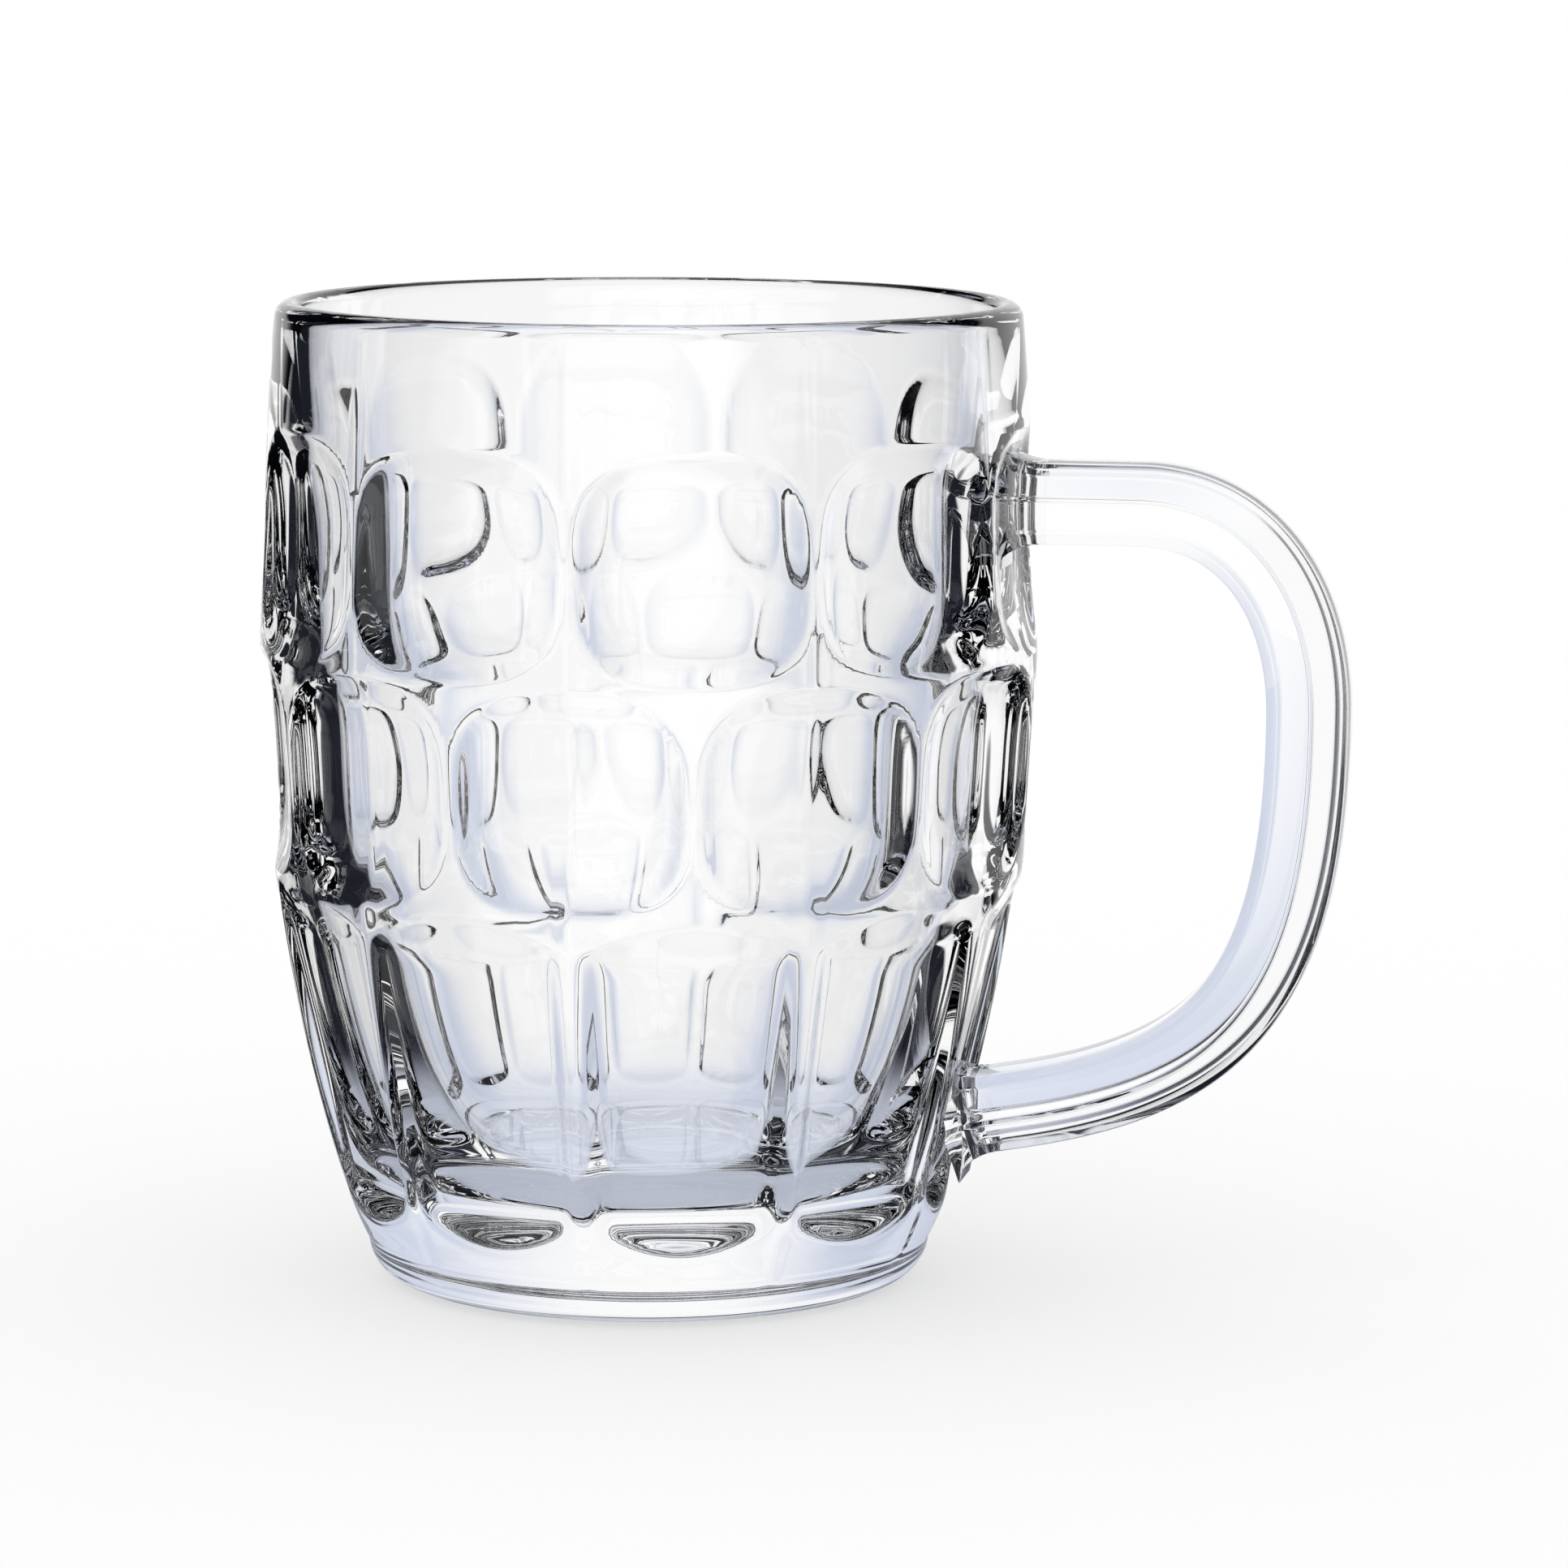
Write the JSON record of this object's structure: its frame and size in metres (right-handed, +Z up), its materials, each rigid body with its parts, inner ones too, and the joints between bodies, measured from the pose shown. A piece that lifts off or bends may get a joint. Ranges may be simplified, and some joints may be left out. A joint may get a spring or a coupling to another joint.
{
  "type": "glass barrel beer mug",
  "caption": "Clear pressed glass beer mug: barrel body with two rows of dimples over tall flutes, thick base and a solid D-shaped side handle.",
  "frame": {"origin": "middle of the flat base, on the surface the mug stands on", "axes": "+X out through the middle of the handle, +Z up through the mouth along the barrel's axis, +Y to the side"},
  "size_m": [0.1335, 0.095, 0.12],
  "materials": {
    "glass_barrel": "clear colourless pressed glass, fire-polished",
    "glass_handle": "clear colourless glass, smooth and fire-polished"
  },
  "bodies": {
    "root": {"glass_barrel": "glass_barrel", "glass_handle": "glass_handle"}
  },
  "joints": []
}
